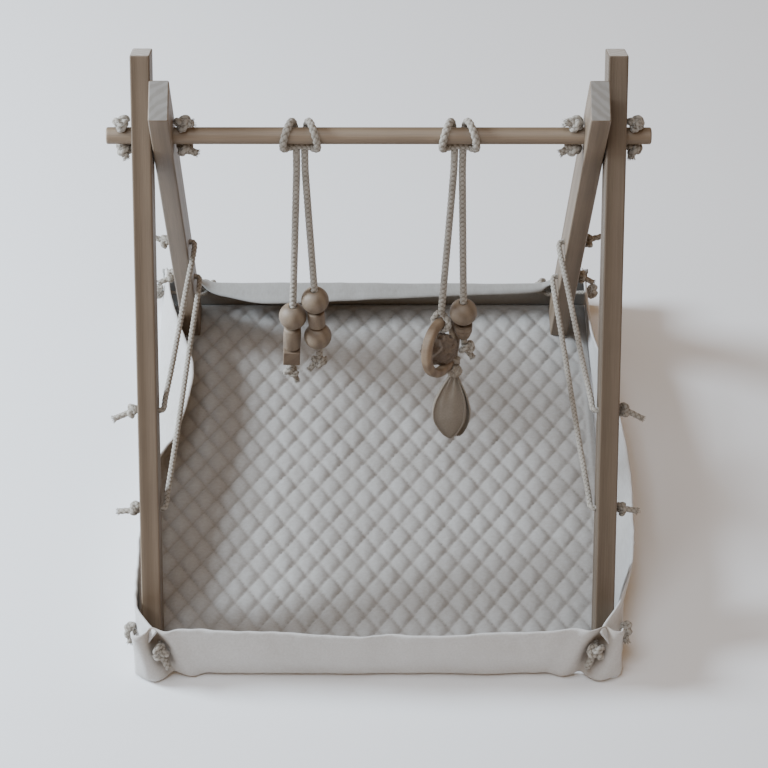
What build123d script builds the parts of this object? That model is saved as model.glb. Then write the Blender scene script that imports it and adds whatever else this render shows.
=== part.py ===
from build123d import *
import os
from math import cos, radians, sin, tan

os.makedirs("parts", exist_ok=True)

# A wooden baby gym that stands in a walled, quilted floor mat. Millimetres, +Z up, +Y to the rear.
# The origin is on the floor, under the middle of the crossbar.

# Crossbar
BAR_Z = 515.0
BAR_R = 9.0
BAR_LENGTH = 575.0
STOP_INNER_X = 206.0
STOP_OUTER_X = 270.0
STOP_HOLE_R = 3.2

# Legs: planed laths, the front pair outside the rear pair
LATH_THICK = 21.0
LATH_WIDE = 46.0
LEAN = 27.5
LEG_ABOVE = 89.0
FRONT_LEG_X = 249.1
REAR_LEG_X = 226.9
BAR_HOLE_R = 9.2
FOOT_GAP = 0.3
SPREADER_AT = {"upper": 303.0, "lower": 415.0}
SPREADER_HOLE_R = 3.6
SPREADER_SAG = {"upper": 4.0, "lower": 6.0}
SIDE_SAG = 0.6
REAR_STAND_OFF = 8.4
FRONT_STAND_OFF = 8.0
MOUTH_BEND_R = 6.6

# Cords
SPREADER_R = 3.25
STOP_CORD_R = 3.0
TOY_CORD_R = 4.1
RING_CORD_R = 3.5
TIE_R = 2.6
KNOT_R = 7.2
TIE_KNOT_R = 6.5
SEAM_TURN = 60.0
LEG_KNOT_TAILS = {"upper": -4.0, "lower": -9.0}

# Mat
QUILT_X = 262.0
QUILT_Y = 299.0
QUILT_THICK = 8.0
WALL_THICK = 4.0
WALL_HIGH = 72.0
REAR_HIGH = 50.0
REAR_FOOT_Y = 299.5
REAR_TOP_Y = 285.0
HEM_FLOP = 20.0
REAR_MARGIN = 3.0
LEFT_LEAN = {-301: 0, 0: -3, 50: -22, 150: -24, 200: -21, 295: -10}
RIGHT_LEAN = {-301: 1, -158: 17, -46: 19, 50: 15, 295: -9}

# Hanging toys
HITCH_X = {"left": -83.0, "right": 84.7}
HITCH_HALF = 15.5
STEM_TOP_Z = 494.5
STEM_LOW_Z = 460.0
STRAND_OFFSET = 4.4
STRAND_GAP = 0.9
BEAD_R = 15.5
BEAD_HOLE_R = 4.3
LEFT_A = (HITCH_X["left"], -1, (-97.5, 0, 182))
LEFT_B = (HITCH_X["left"], 1, (-65.5, 0, 196))
RIGHT_A = (HITCH_X["right"], -1, (71.0, 0, 262.5))
RIGHT_B = (HITCH_X["right"], 1, (97.0, 0, 220))

# Ring: its rim hangs from the left strand, tilted back and turned to the right
RING_TOP = (71.0, 0, 248.0)
RING_TILT = 20.0
RING_TURN = 57.0
RING_R = 35.0
RING_HOLE_R = 25.0
RING_WIDE = 12.0
RING_LOOP_R = 9.9
RIM_R = (RING_R + RING_HOLE_R) / 2

# Leaf: two cloth blades, whose narrow ends are tied to the rim
LEAF_TIE_R = 9.2
LEAF_LONG = 104.0
LEAF_WIDE = 42.0
LEAF_NECK = 6.0
LEAF_THICK = 1.6
LEAF_TURN = -4.0


def save(name, shape):
    export_step(shape, f"parts/{name}.step")


def arc_radius(a, b, c):
    """The largest tangent arc that fits the corner at b."""
    turn = (b - a).get_angle(c - b)
    return 0.45 * min((b - a).length, (c - b).length) / tan(radians(turn / 2))


def cord(points, radius, tight=None):
    """A tube along straight runs joined by tangent arcs; tight gives a corner its own radius."""
    p = [Vector(*q) for q in points]
    radii = [arc_radius(p[i - 1], p[i], p[i + 1]) for i in range(1, len(p) - 1)]
    for corner, value in (tight or {}).items():
        radii[corner] = value
    path = FilletPolyline(*p, radius=radii) if radii else Line(*p)
    tube = sweep(Plane(path @ 0, z_dir=path % 0) * Circle(radius), path=path)
    print("cord", round(path.length, 1), "radii", [round(r, 1) for r in radii])
    return tube


def knot(at, radius=KNOT_R, tail=(0, 0, 0), tail_r=STOP_CORD_R):
    """An overhand knot as a ball, with its cut tail standing out of it."""
    ball = Pos(*at) * Rot(0, 0, SEAM_TURN) * Sphere(radius)
    long = Vector(*tail).length
    if long > radius:
        ball += Plane(at, z_dir=Vector(*tail)) * Pos(0, 0, long / 2) * Cylinder(tail_r, long)
    return ball


def along_leg(distance, side):
    """(y, z) of a point down a leg from the crossbar; side is -1 at the front and 1 at the rear."""
    return (
        side * distance * sin(radians(LEAN)),
        BAR_Z - distance * cos(radians(LEAN)),
    )


def leg(x, side):
    """A lath with a hole for the crossbar, two cord holes and a foot cut level with the floor."""
    below = BAR_Z / cos(radians(LEAN)) + LATH_WIDE
    lath = Pos(0, 0, (LEG_ABOVE - below) / 2) * Box(LATH_THICK, LATH_WIDE, LEG_ABOVE + below)
    lath = fillet(lath.edges().filter_by(Axis.Z), 2.0)
    lath = fillet(lath.faces().sort_by(Axis.Z)[-1].edges(), 1.5)
    lath -= Rot(0, 90, 0) * Cylinder(BAR_HOLE_R, 2 * LATH_THICK)
    for distance in SPREADER_AT.values():
        lath -= Pos(0, 0, -distance) * Rot(0, 90, 0) * Cylinder(SPREADER_HOLE_R, 2 * LATH_THICK)
    lath = Pos(x, 0, BAR_Z) * Rot(side * LEAN, 0, 0) * lath
    floor_cut = Pos(x, 0, QUILT_THICK + FOOT_GAP - BAR_Z) * Box(100, 2 * BAR_Z, 2 * BAR_Z)
    return lath - floor_cut


def crossbar():
    bar = Pos(0, 0, BAR_Z) * Rot(0, 90, 0) * Cylinder(BAR_R, BAR_LENGTH)
    bar = fillet(bar.edges(), 2.0)
    for x in (-STOP_OUTER_X, -STOP_INNER_X, STOP_INNER_X, STOP_OUTER_X):
        bar -= Pos(x, 0, BAR_Z) * Cylinder(STOP_HOLE_R, 4 * BAR_R)
    return bar


def stop_cord(x, tail):
    """A short cord through the bar with a knot above and a knot below."""
    reach = BAR_R + KNOT_R - 0.6
    top = knot((x, 0, BAR_Z + reach), tail=tail)
    low = knot((x, 0, BAR_Z - reach), tail=(tail[0], tail[1], -tail[2]))
    whole = top + low + Pos(x, 0, BAR_Z) * Cylinder(STOP_CORD_R, 2 * reach)
    return whole - (Pos(x, 0, BAR_Z) * Rot(0, 90, 0) * Cylinder(BAR_R + 0.1, 60)
                    - Pos(x, 0, BAR_Z) * Cylinder(STOP_CORD_R, 100))


def spreader(level, hand):
    """The cord that keeps one pair of legs from opening, run between the legs' inner faces."""
    y, z = along_leg(SPREADER_AT[level], 1)
    rear_out = REAR_LEG_X + LATH_THICK / 2
    rear_in = REAR_LEG_X - LATH_THICK / 2 - REAR_STAND_OFF
    front_in = FRONT_LEG_X - LATH_THICK / 2 - FRONT_STAND_OFF
    front_out = FRONT_LEG_X + LATH_THICK / 2
    sag = SPREADER_SAG[level]
    route = [(rear_out, y, z), (rear_in, y, z)]
    for part, drop in ((0.5, 0.8), (0.0, 1.0), (-0.5, 0.7)):
        x = (rear_in + front_in) / 2 - part * (front_in - rear_in) / 2
        route.append((x + SIDE_SAG * drop, part * y, z - sag * drop))
    route += [(front_in, -y, z), (front_out, -y, z)]
    return cord([(hand * a, b, c) for a, b, c in route], SPREADER_R, {0: MOUTH_BEND_R, -1: MOUTH_BEND_R})


def leg_knots(x, side, hand):
    """The two knots outside a leg, each with a short tail."""
    pair = []
    for level, distance in SPREADER_AT.items():
        y, z = along_leg(distance, side)
        tail = (hand * 17.0, side * 2.0, LEG_KNOT_TAILS[level])
        pair.append(knot((hand * (x + LATH_THICK / 2 + KNOT_R), y, z), tail=tail))
    return Compound(children=[Part(p.wrapped) for p in pair])


def wall(low, high, thick, height):
    """A standing cloth wall between a line on the floor and a line along its top edge."""
    def face(line, z):
        back = [(x + thick[0], y + thick[1]) for x, y in reversed(line)]
        return Plane.XY.offset(z) * make_face(Polyline(*line, *back, close=True))

    return loft([face(low, 0), face(high, height)], ruled=True)


def side_wall(hand, foot, lean):
    """A long wall whose top edge stands out from its foot by a given amount at each y."""
    low = [(hand * foot, y) for y in lean]
    high = [(hand * (foot + out), y) for y, out in lean.items()]
    return wall(low, high, (hand * WALL_THICK, 0), WALL_HIGH)


def eyelet(at, along):
    """The hole that a corner tie passes through."""
    return Plane(at, z_dir=along) * Cylinder(TIE_R + 1.0, 30)


CORNER_TIES = {}
for hand, name in ((-1, "left"), (1, "right")):
    CORNER_TIES[f"front_{name}"] = (
        (hand * 238, -307.5, 46),
        (hand * 238, -291, 46),
        (hand * 251, -284, 50),
        (hand * 270.5, -284, 50),
    )
    CORNER_TIES[f"rear_{name}"] = (
        (hand * 207, 296.5, 36),
        (hand * 207, 279, 36),
        (hand * 243, 277, 44),
        (hand * 266, 277, 44),
    )


def with_eyelets(shape, hand=None, end=None):
    """Cut the eyelets at the ends of a wall; a side wall has a hand, an end wall has an end."""
    for name, route in CORNER_TIES.items():
        if end and name.startswith(end):
            shape -= eyelet(route[0], (0, 1, 0))
        if hand and name.endswith(hand):
            shape -= eyelet(route[-1], (1, 0, 0))
    return shape


def mat():
    quilt = Pos(0, -REAR_MARGIN / 2, QUILT_THICK / 2) * Box(2 * QUILT_X, 2 * QUILT_Y - REAR_MARGIN, QUILT_THICK)
    save("quilted_mat", fillet(quilt.edges().filter_by(Axis.Z), 6.0))

    across = QUILT_X
    front = wall(
        [(-across - 2, -QUILT_Y - 8), (0, -QUILT_Y - 8), (across + 2, -QUILT_Y - 8)],
        [(-across - 2, -QUILT_Y - 8), (0, -QUILT_Y - 8), (across + 2, -QUILT_Y - 8)],
        (0, WALL_THICK), WALL_HIGH,
    )
    save("front_border", with_eyelets(front, end="front"))

    rear = wall(
        [(-across + 10, REAR_FOOT_Y), (across - 10, REAR_FOOT_Y)],
        [(-across + 10, REAR_TOP_Y), (across - 10, REAR_TOP_Y)],
        (0, WALL_THICK), REAR_HIGH,
    )
    hem = Pos(0, REAR_TOP_Y - HEM_FLOP / 2, REAR_HIGH - 4) * Box(396, HEM_FLOP + 4, 5)
    save("rear_border", with_eyelets(rear + hem, end="rear"))

    left = side_wall(-1, across + 3, LEFT_LEAN)
    save("left_border", with_eyelets(left, hand="left"))

    right = side_wall(1, across + 2, RIGHT_LEAN)
    save("right_border", with_eyelets(right, hand="right"))


def corner_tie(name):
    """A tie through both eyelets of a corner, knotted outside each wall."""
    route = CORNER_TIES[name]
    hand = 1 if name.endswith("right") else -1
    out = -1 if name.startswith("front") else 1
    tail = (-hand * 6.0, -3.0, -14.0) if out < 0 else (-hand * 4.0, 14.0, -8.0)
    end_knot = knot((route[0][0], route[0][1] + out * 5.0, route[0][2]), TIE_KNOT_R, tail, TIE_R)
    side_knot = knot((route[-1][0] + hand * 7.0, route[-1][1], route[-1][2]), TIE_KNOT_R)
    reach = Plane(route[-1], z_dir=(hand, 0, 0)) * Pos(0, 0, 3.5) * Cylinder(TIE_R, 7.0)
    return cord(route, TIE_R) + reach + end_knot + side_knot


def hitch(x):
    """A lark's head on the crossbar: two turns round it, joined by a bight below."""
    turn = Rot(0, 90, 0) * Torus(BAR_R + TOY_CORD_R + 0.2, TOY_CORD_R)
    low = Pos(x, 0, BAR_Z - BAR_R - TOY_CORD_R - 0.2)
    bight = low * Rot(0, 90, 0) * Cylinder(TOY_CORD_R, 2 * HITCH_HALF)
    return Pos(x - HITCH_HALF, 0, BAR_Z) * turn + Pos(x + HITCH_HALF, 0, BAR_Z) * turn + bight


def stem(x):
    """The two strands side by side under the hitch."""
    high = STEM_TOP_Z - STEM_LOW_Z
    pair = [
        Pos(x + side * STRAND_OFFSET, 0, STEM_LOW_Z + high / 2) * Cylinder(TOY_CORD_R, high)
        for side in (-1, 1)
    ]
    return Compound(children=pair)


def strand_line(x, side, low):
    """Top and lower end of a strand below the stem."""
    top = Vector(x + side * STRAND_OFFSET, 0, STEM_LOW_Z - STRAND_GAP)
    return top, Vector(*low)


def strand(x, side, low):
    top, end = strand_line(x, side, low)
    return sweep(Plane(top, z_dir=end - top) * Circle(TOY_CORD_R), path=Line(top, end))


def on_strand(x, side, low, z):
    """The plane across a strand at height z, for what is threaded on it."""
    top, end = strand_line(x, side, low)
    at = top + (end - top) * ((top.Z - z) / (top.Z - end.Z))
    return Plane(at, x_dir=(0, 1, 0), z_dir=top - end)


def bored(shape):
    return shape - Cylinder(BEAD_HOLE_R, 80)


def round_bead(radius=BEAD_R):
    return bored(Sphere(radius))


def barrel_bead(radius, high):
    return bored(fillet(Cylinder(radius, high).edges(), 3.0))


def cube_bead(size):
    cube = Box(size, size, size)
    return bored(fillet(cube.edges(), 1.2))


def tapered_bead(radius, high):
    """A turned bead with a neck at the top and a waist groove."""
    half = high / 2
    outline = [
        (BEAD_HOLE_R, half), (radius * 0.75, half), (radius, half * 0.45), (radius * 0.97, half * 0.1),
        (radius * 0.86, 0), (radius * 0.93, -half * 0.15), (radius * 0.7, -half), (BEAD_HOLE_R, -half),
    ]
    face = make_face(Plane.XZ * Polyline(*outline, close=True))
    return revolve(face, Axis.Z)


save("crossbar_dowel", crossbar())
for hand, name in ((-1, "left"), (1, "right")):
    save(f"front_leg_{name}", leg(hand * FRONT_LEG_X, -1))
    save(f"rear_leg_{name}", leg(hand * REAR_LEG_X, 1))
    save(f"front_leg_knots_{name}", leg_knots(FRONT_LEG_X, -1, hand))
    save(f"rear_leg_knots_{name}", leg_knots(REAR_LEG_X, 1, hand))
    save(f"stop_cord_outer_{name}", stop_cord(hand * STOP_OUTER_X, (0, -9.5, 2.0)))
    save(f"stop_cord_inner_{name}", stop_cord(hand * STOP_INNER_X, (-hand * 8.0, -6.0, 2.0)))
    for level in SPREADER_AT:
        save(f"{level}_spreader_{name}", spreader(level, hand))
    save(f"{name}_hitch", hitch(HITCH_X[name]))
    save(f"{name}_stem", stem(HITCH_X[name]))

mat()
for name in CORNER_TIES:
    save(f"corner_tie_{name}", corner_tie(name))

# Left toy: a string of beads on each strand
save("left_toy_strand_a", strand(*LEFT_A))
save("left_toy_strand_b", strand(*LEFT_B))
LEFT_BEADS = {
    "left_bead_round_a": (LEFT_A, 257.5, round_bead()),
    "left_bead_barrel": (LEFT_A, 225.5, barrel_bead(10.0, 30.0)),
    "left_bead_cube": (LEFT_A, 199.8, cube_bead(19.0)),
    "left_bead_round_b": (LEFT_B, 281.5, round_bead()),
    "left_bead_drum": (LEFT_B, 254.5, barrel_bead(9.6, 21.0)),
    "left_bead_round_c": (LEFT_B, 227.5, round_bead()),
}
for name, (line, z, bead) in LEFT_BEADS.items():
    save(name, on_strand(*line, z) * bead)
save("left_toy_knot_a", knot((-97.6, 0, 176), tail=(5, 0, -13)))
save("left_toy_knot_b", knot((-65.4, 0, 190), tail=(-9, 0, -12)))

# Right toy: a ring with a cloth leaf on one strand, two beads on the other
tilt, turn = radians(RING_TILT), radians(RING_TURN)
up = Vector(0, sin(tilt), cos(tilt))
facing = Vector(sin(turn), -cos(tilt) * cos(turn), sin(tilt) * cos(turn))
sideways = up.cross(facing)
ring_centre = Vector(*RING_TOP) - up * RIM_R
ring = Plane(ring_centre, x_dir=up, z_dir=facing) * (
    Cylinder(RING_R, RING_WIDE) - Cylinder(RING_HOLE_R, 2 * RING_WIDE)
)
save("right_toy_ring", fillet(ring.edges(), 4.0))
save("right_toy_strand_a", strand(*RIGHT_A))
save("right_toy_ring_loop", Plane(RING_TOP, x_dir=up, z_dir=sideways) * Torus(RING_LOOP_R, RING_CORD_R))
save("right_toy_strand_b", strand(*RIGHT_B))
save("right_bead_round", on_strand(*RIGHT_B, 263.5) * round_bead())
save("right_bead_tapered", on_strand(*RIGHT_B, 236.5) * tapered_bead(10.0, 20.0))
save("right_toy_knot", knot((97.2, 0, 213), tail=(9, 0, -13)))

rim_way = (sideways - up).normalized()
tie_at = ring_centre + rim_way * RIM_R
save("right_toy_leaf_tie", Plane(tie_at, x_dir=rim_way, z_dir=rim_way.cross(facing)) * Torus(LEAF_TIE_R, TIE_R))


def blade(shift):
    """A leaf outline: narrow at the tie, widest two thirds of the way down, and pointed."""
    half = LEAF_WIDE / 2
    neck = LEAF_NECK / 2
    sides = [
        Spline((hand * neck, 0), (hand * half * 0.72, -0.42 * LEAF_LONG),
               (hand * half, -0.68 * LEAF_LONG), (0, -LEAF_LONG))
        for hand in (-1, 1)
    ]
    outline = make_face(sides + [Line((-neck, 0), (neck, 0))])
    angle = radians(LEAF_TURN)
    place = Plane((87.0, tie_at.Y - 4.0 + shift, 176.0), x_dir=(cos(angle), sin(angle), 0.0),
                  z_dir=(sin(angle), -cos(angle), 0.0))
    return place * extrude(outline, LEAF_THICK)


save("right_toy_leaf_front", blade(-1.0))
save("right_toy_leaf_back", blade(2.8))
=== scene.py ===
import math
import random

import bmesh
import bpy
import numpy as np
from mathutils import Matrix, Vector, noise


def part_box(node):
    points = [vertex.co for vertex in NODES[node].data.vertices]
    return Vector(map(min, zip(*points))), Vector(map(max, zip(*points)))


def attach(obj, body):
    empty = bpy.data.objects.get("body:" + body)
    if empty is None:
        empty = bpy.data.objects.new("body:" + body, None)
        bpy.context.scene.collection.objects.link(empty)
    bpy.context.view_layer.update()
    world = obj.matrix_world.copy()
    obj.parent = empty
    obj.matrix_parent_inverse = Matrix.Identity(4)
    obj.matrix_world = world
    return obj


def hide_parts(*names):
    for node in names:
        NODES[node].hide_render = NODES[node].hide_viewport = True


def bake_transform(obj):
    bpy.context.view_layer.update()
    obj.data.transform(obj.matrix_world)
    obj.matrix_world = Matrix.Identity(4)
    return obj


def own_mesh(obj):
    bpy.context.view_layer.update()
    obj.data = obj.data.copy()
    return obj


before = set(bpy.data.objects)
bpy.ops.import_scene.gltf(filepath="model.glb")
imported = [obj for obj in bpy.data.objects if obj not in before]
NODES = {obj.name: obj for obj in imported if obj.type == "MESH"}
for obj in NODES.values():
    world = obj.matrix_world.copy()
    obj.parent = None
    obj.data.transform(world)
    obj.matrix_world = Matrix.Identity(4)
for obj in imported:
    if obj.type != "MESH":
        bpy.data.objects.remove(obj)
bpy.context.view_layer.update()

# A wooden baby gym in a walled quilted mat. Lengths are in metres: MM and mm() turn millimetres into them.
MM = 0.001
BAR_LOW, BAR_HIGH = (Vector(c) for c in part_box("crossbar_dowel"))
BAR_Z = (BAR_LOW.z + BAR_HIGH.z) / 2
BAR_R = (BAR_HIGH.z - BAR_LOW.z) / 2
FRONT_LEG_X = sum(c[0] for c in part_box("front_leg_right")) / 2
REAR_LEG_X = sum(c[0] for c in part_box("rear_leg_right")) / 2
LATH_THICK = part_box("front_leg_right")[1][0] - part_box("front_leg_right")[0][0]
LEAN = math.radians(27.5)
QUILT_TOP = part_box("quilted_mat")[1][2]
HANDS = {"left": -1, "right": 1}

SPREADER_R = 3.25 * MM
STOP_CORD_R = 3.0 * MM
TOY_CORD_R = 4.1 * MM
TIE_R = 2.6 * MM
FIBRE_R = 0.28 * MM


def mm(*v):
    return Vector(v) * MM


def bell(off, width):
    """1 at the middle of a bump or groove, fading to 0 beyond its width."""
    return math.exp(-((off / width) ** 2))


# ---------------------------------------------------------------- camera

def camera():
    """The view: long lens, turned 44 degrees down."""
    turn, down, roll = math.radians(0.74), math.radians(43.74), math.radians(0.49)
    forward = Vector((math.sin(turn) * math.cos(down), math.cos(turn) * math.cos(down), -math.sin(down)))
    right = Vector((math.cos(turn), -math.sin(turn), 0))
    up = right.cross(forward)
    right, up = (right * math.cos(roll) + up * math.sin(roll), up * math.cos(roll) - right * math.sin(roll))
    data = bpy.data.cameras.new("view")
    data.lens, data.sensor_width = 135.0, 36.0
    data.shift_x = 0.0034
    cam = bpy.data.objects.new("view", data)
    bpy.context.scene.collection.objects.link(cam)
    basis = Matrix((right, up, -forward)).transposed().to_4x4()
    cam.matrix_world = Matrix.Translation((-0.0259, -2.3763, 2.4266)) @ basis
    bpy.context.scene.camera = cam


camera()


# ---------------------------------------------------------------- materials

class Nodes:
    """A short way to write a material's node tree."""

    def __init__(self, name, roughness, sheen=0.0, specular=0.5):
        self.material = bpy.data.materials.new(name)
        self.material.use_nodes = True
        self.tree = self.material.node_tree
        self.shader = self.tree.nodes["Principled BSDF"]
        self.shader.inputs["Roughness"].default_value = roughness
        self.shader.inputs["Sheen Weight"].default_value = sheen
        self.shader.inputs["Sheen Roughness"].default_value = 0.6
        self.shader.inputs["Specular IOR Level"].default_value = specular

    def add(self, kind, settings=None, **inputs):
        node = self.tree.nodes.new(kind)
        for key, value in (settings or {}).items():
            setattr(node, key, value)
        for key, value in inputs.items():
            self.plug(value, node.inputs[key.replace("_", " ")])
        return node

    def plug(self, value, socket):
        if isinstance(value, bpy.types.NodeSocket):
            self.tree.links.new(value, socket)
        else:
            socket.default_value = value

    def place(self, turn=(0, 0, 0), scale=(1, 1, 1), source="Object"):
        """Object coordinates in a frame turned by turn, then scaled."""
        where = self.add("ShaderNodeTexCoord").outputs[source]
        sizes = [1 / k if k else 1e6 for k in scale]
        kind = {"vector_type": "TEXTURE"}
        return self.add("ShaderNodeMapping", kind, Vector=where, Rotation=turn, Scale=sizes).outputs["Vector"]

    def noise(self, vector, scale, detail=3.0, roughness=0.5):
        return self.add(
            "ShaderNodeTexNoise", Vector=vector, Scale=scale, Detail=detail, Roughness=roughness
        ).outputs["Fac"]

    def attribute(self, name):
        return self.add("ShaderNodeAttribute", {"attribute_name": name}).outputs["Fac"]

    def math(self, operation, a, b=0.0):
        node = self.add("ShaderNodeMath", {"operation": operation})
        self.plug(a, node.inputs[0])
        self.plug(b, node.inputs[1])
        return node.outputs[0]

    def ramp(self, factor, *stops):
        node = self.add("ShaderNodeValToRGB", Fac=factor)
        while len(node.color_ramp.elements) < len(stops):
            node.color_ramp.elements.new(0.5)
        for element, (position, colour) in zip(node.color_ramp.elements, stops):
            element.position = position
            element.color = (*colour, 1)
        return node.outputs["Color"]

    def mix(self, factor, a, b, blend="MIX"):
        node = self.add("ShaderNodeMix", {"data_type": "RGBA", "blend_type": blend})
        self.plug(factor, node.inputs[0])
        self.plug(a, node.inputs[6])
        self.plug(b, node.inputs[7])
        return node.outputs[2]

    def bump(self, height, distance, strength=1.0, normal=None):
        node = self.add("ShaderNodeBump", Height=height, Distance=distance, Strength=strength)
        if normal is not None:
            self.plug(normal, node.inputs["Normal"])
        return node.outputs["Normal"]

    def finish(self, colour, normal):
        self.plug(colour, self.shader.inputs["Base Color"])
        self.plug(normal, self.shader.inputs["Normal"])
        return self.material


PINE_LIGHT, PINE_DARK = (0.215, 0.162, 0.115), (0.140, 0.099, 0.064)
SAWN_WOOD = (0.50, 0.47, 0.43), (0.42, 0.385, 0.34)


def wood(name, turn, grain, light, dark, seed, sawn=None):
    """Pale pine: growth rings drawn out along local Z and fine pores. sawn is the tone of its cut ends."""
    n = Nodes(name, 0.55)
    along = n.place(turn, (1.0, 1.0, 0.012))
    where = n.add("ShaderNodeVectorMath", {"operation": "ADD"})
    n.plug(along, where.inputs[0])
    where.inputs[1].default_value = (seed, seed * 0.37, 0)
    vector = where.outputs[0]
    streak = n.noise(vector, 120.0 * grain, 3.0, 0.6)
    rings = n.add(
        "ShaderNodeTexWave", {"wave_type": "BANDS", "bands_direction": "DIAGONAL"},
        Vector=vector, Scale=26.0 * grain, Distortion=3.0, Detail=2.0, Detail_Scale=0.8,
    ).outputs["Fac"]
    fibre = n.noise(n.place(turn, (1.0, 1.0, 0.02)), 900.0 * grain, 3.0, 0.6)
    tone = n.math("ADD", n.math("MULTIPLY", rings, 0.4), n.math("MULTIPLY", streak, 0.6))
    colour = n.ramp(tone, (0.25, light), (0.55, [0.5 * (a + b) for a, b in zip(light, dark)]), (0.78, dark))
    fine = n.ramp(fibre, (0.35, (0.80, 0.79, 0.77)), (0.6, (1.03, 1.02, 1.0)))
    colour = n.mix(0.6, colour, fine, "MULTIPLY")
    blotch = n.ramp(n.noise(n.place(), 14.0, 3.0), (0.35, (0.88, 0.87, 0.86)), (0.65, (1.05, 1.04, 1.02)))
    colour = n.mix(0.5, colour, blotch, "MULTIPLY")
    if sawn is not None:
        facing = n.add("ShaderNodeSeparateXYZ", Vector=n.place(turn, source="Normal")).outputs["Z"]
        end = n.ramp(n.math("ABSOLUTE", facing), (0.88, (0, 0, 0)), (0.96, (1, 1, 1)))
        arcs = n.add(
            "ShaderNodeTexWave", {"wave_type": "RINGS", "rings_direction": "Z"},
            Vector=n.place(turn, (1.0, 1.0, 0.0)), Scale=38.0, Distortion=7.0, Detail=3.0,
        ).outputs["Fac"]
        pale, deep = [[sawn * c for c in face] for face in SAWN_WOOD]
        colour = n.mix(end, colour, n.ramp(arcs, (0.2, pale), (0.8, deep)))
    relief = n.bump(fibre, 0.00018)
    relief = n.bump(rings, 0.00012, normal=relief)
    return n.finish(colour, relief)


COTTON_RELIEF, CANVAS_RELIEF = 0.22 * MM, 0.12 * MM
YARN_PITCH = 1.1 * MM


def cotton(name, light, shade):
    """Quilted cotton: fine yarn, loose fibre, slightly uneven bleaching, and painted shade along its stitch
    lines and binding seam.
    """
    n = Nodes(name, 0.92, sheen=0.25, specular=0.2)
    yarn = n.noise(n.place(), 1800.0, 2.0, 0.6)
    fibre = n.noise(n.place((0.3, 0.5, 0.2), (1.0, 1.3, 0.6)), 260.0, 4.0, 0.65)
    patch = n.noise(n.place(), 9.0, 4.0)
    both = n.math("ADD", n.math("MULTIPLY", fibre, 0.6), n.math("MULTIPLY", patch, 0.4))
    colour = n.ramp(both, (0.32, shade), (0.62, light))
    # Painted shade: the stitch valleys and the binding seam are darkened by a warm multiply.
    colour = n.mix(n.attribute("painted_shade"), colour, (0.67, 0.62, 0.57, 1), "MULTIPLY")
    relief = n.bump(fibre, COTTON_RELIEF)
    relief = n.bump(yarn, COTTON_RELIEF * 0.5, normal=relief)
    return n.finish(colour, relief)


def canvas(name, light, shade):
    """Plain-weave cloth: crossed bands of yarn over slubby thickness changes, with painted shade in its
    tucks.
    """
    n = Nodes(name, 0.9, sheen=0.2, specular=0.2)
    pitch = 2 * math.pi / YARN_PITCH
    threads = []
    for axis in "XYZ":
        bands = n.add(
            "ShaderNodeTexWave", {"wave_type": "BANDS", "bands_direction": axis},
            Vector=n.place(), Scale=pitch / 20.0, Distortion=0.6, Detail=1.0,
        ).outputs["Fac"]
        threads.append(bands)
    weave = n.math("MULTIPLY", n.math("ADD", n.math("ADD", threads[0], threads[1]), threads[2]), 0.33)
    slub = n.noise(n.place(scale=(1.0, 0.25, 1.0)), 420.0, 3.0, 0.6)
    patch = n.noise(n.place(), 7.0, 4.0, 0.55)
    tone = n.math("ADD", n.math("MULTIPLY", slub, 0.45), n.math("MULTIPLY", patch, 0.55))
    colour = n.ramp(tone, (0.33, shade), (0.62, light))
    # Painted shade: the cloth is darkened to a warm brown round the ties' tucks.
    colour = n.mix(n.attribute("painted_shade"), colour, (0.50, 0.41, 0.32, 1), "MULTIPLY")
    relief = n.bump(weave, CANVAS_RELIEF)
    relief = n.bump(slub, CANVAS_RELIEF * 1.6, normal=relief)
    return n.finish(colour, relief)


def cord_cotton():
    """Braided cotton: painted shade darkens the gaps of the plait, and its crowns stay pale."""
    n = Nodes("cotton_cord", 0.92, sheen=0.15, specular=0.2)
    high = n.attribute("plait")
    fibre = n.noise(n.place((0.3, 0.5, 0.2), (1.0, 1.3, 0.6)), 1500.0, 4.0, 0.65)
    patch = n.noise(n.place(), 30.0, 3.0)
    tone = n.math("ADD", n.math("MULTIPLY", fibre, 0.55), n.math("MULTIPLY", patch, 0.45))
    colour = n.ramp(tone, (0.32, (0.27, 0.243, 0.205)), (0.62, (0.40, 0.37, 0.325)))
    # Painted shade in the plait's gaps, where its strands shade each other.
    painted_gap_shade = n.ramp(high, (0.0, (0.34, 0.30, 0.26)), (0.6, (1.0, 1.0, 1.0)))
    colour = n.mix(1.0, colour, painted_gap_shade, "MULTIPLY")
    return n.finish(colour, n.bump(fibre, 0.0002))


CORD = cord_cotton()
QUILT = cotton("quilted_cotton", (0.375, 0.362, 0.348), (0.30, 0.283, 0.262))
CANVAS = canvas("canvas", (0.60, 0.59, 0.575), (0.49, 0.473, 0.45))
# The rear wall is the same canvas, darkened to about half as painted shade.
SHADED_REAR_CANVAS = canvas("rear_canvas_painted_shade", (0.33, 0.322, 0.305), (0.27, 0.26, 0.243))
LEAF = canvas("leaf_cloth", (0.30, 0.258, 0.208), (0.225, 0.19, 0.15))
BAR_WOOD = wood("bar_wood", (0, math.pi / 2, 0), 1.2, (0.275, 0.21, 0.15), (0.18, 0.13, 0.085), seed=0.3,
                sawn=0.75)
BEAD_WOOD = wood("bead_wood", (0.4, 0.2, 0), 1.6, (0.215, 0.163, 0.115), (0.15, 0.108, 0.073), seed=1.7)


# ---------------------------------------------------------------- mesh helpers

def placed(name, data, material):
    """A mesh as a smooth object of the scene."""
    data.polygons.foreach_set("use_smooth", [True] * len(data.polygons))
    data.materials.append(material)
    piece = bpy.data.objects.new(name, data)
    bpy.context.scene.collection.objects.link(piece)
    return piece


def mesh_piece(name, verts, faces, material):
    data = bpy.data.meshes.new(name)
    data.from_pydata([tuple(v) for v in verts], [], [tuple(f) for f in faces])
    data.update()
    return placed(name, data, material)


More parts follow.
